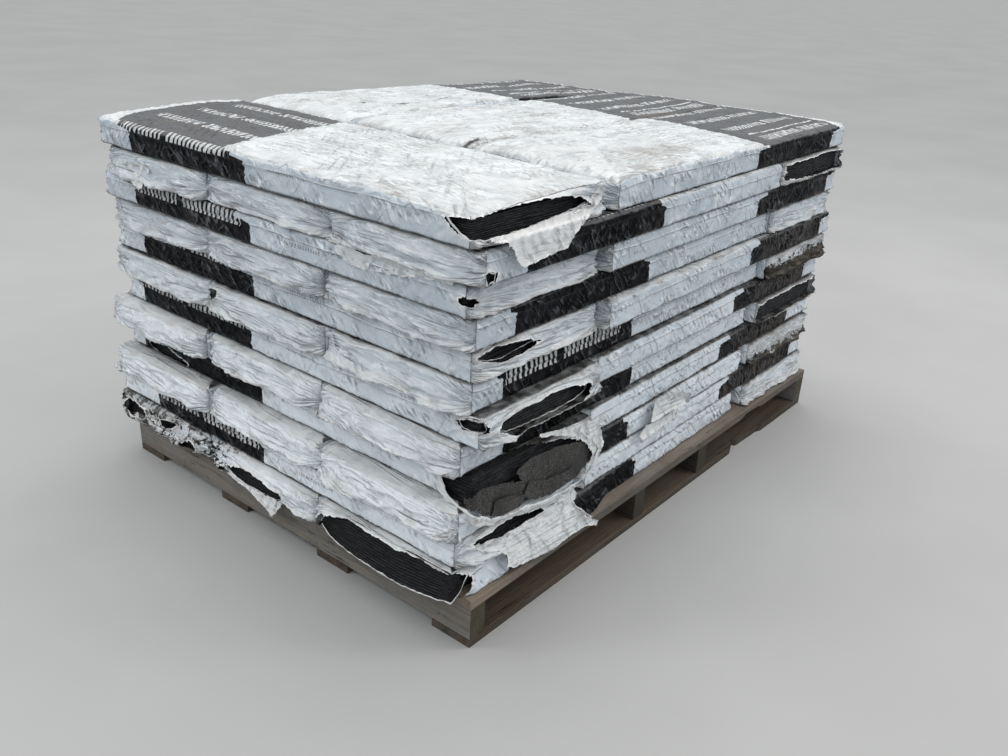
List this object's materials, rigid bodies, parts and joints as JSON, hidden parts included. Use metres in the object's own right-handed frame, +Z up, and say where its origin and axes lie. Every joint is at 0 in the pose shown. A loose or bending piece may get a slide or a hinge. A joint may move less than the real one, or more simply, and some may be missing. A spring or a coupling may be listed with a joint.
{
  "type": "pallet of wrapped asphalt shingle bundles",
  "caption": "Low wooden stringer pallet stacked with interlocked layers of film-wrapped asphalt shingle bundles, some wrappers torn open at the ends.",
  "frame": {"origin": "centre of the underside of the whole load", "axes": "+X along the long side of the load, +Y across it away from the torn front face, +Z up"},
  "size_m": [1.4, 1.057, 0.7544],
  "materials": {
    "shingle": "granule-faced asphalt, matte",
    "film": "thin polyethylene film with black printed band, soft sheen, dusty",
    "pallet_wood": "rough sawn, weathered grey-brown"
  },
  "bodies": {
    "root": {"shingles_layer_01": "shingle", "shingles_layer_02": "shingle", "shingles_layer_03": "shingle", "shingles_layer_04": "shingle", "shingles_layer_05": "shingle", "shingles_layer_06": "shingle", "shingles_layer_07": "shingle", "shingles_layer_08": "shingle", "shingles_layer_09": "shingle", "shingles_layer_10": "shingle", "shingles_layer_11": "shingle", "shingles_layer_12": "shingle", "film_wrap_layer_01": "film", "film_wrap_layer_02": "film", "film_wrap_layer_03": "film", "film_wrap_layer_04": "film", "film_wrap_layer_05": "film", "film_wrap_layer_06": "film", "film_wrap_layer_07": "film", "film_wrap_layer_08": "film", "film_wrap_layer_09": "film", "film_wrap_layer_10": "film", "film_wrap_layer_11": "film", "film_wrap_layer_12": "film", "stringer_1": "pallet_wood", "stringer_2": "pallet_wood", "stringer_3": "pallet_wood", "stringer_4": "pallet_wood", "deck_board_1": "pallet_wood", "deck_board_2": "pallet_wood", "deck_board_3": "pallet_wood", "deck_board_4": "pallet_wood", "deck_board_5": "pallet_wood", "deck_board_6": "pallet_wood", "deck_board_7": "pallet_wood", "bottom_board_1": "pallet_wood", "bottom_board_2": "pallet_wood", "bottom_board_3": "pallet_wood", "bottom_board_4": "pallet_wood"}
  },
  "joints": []
}
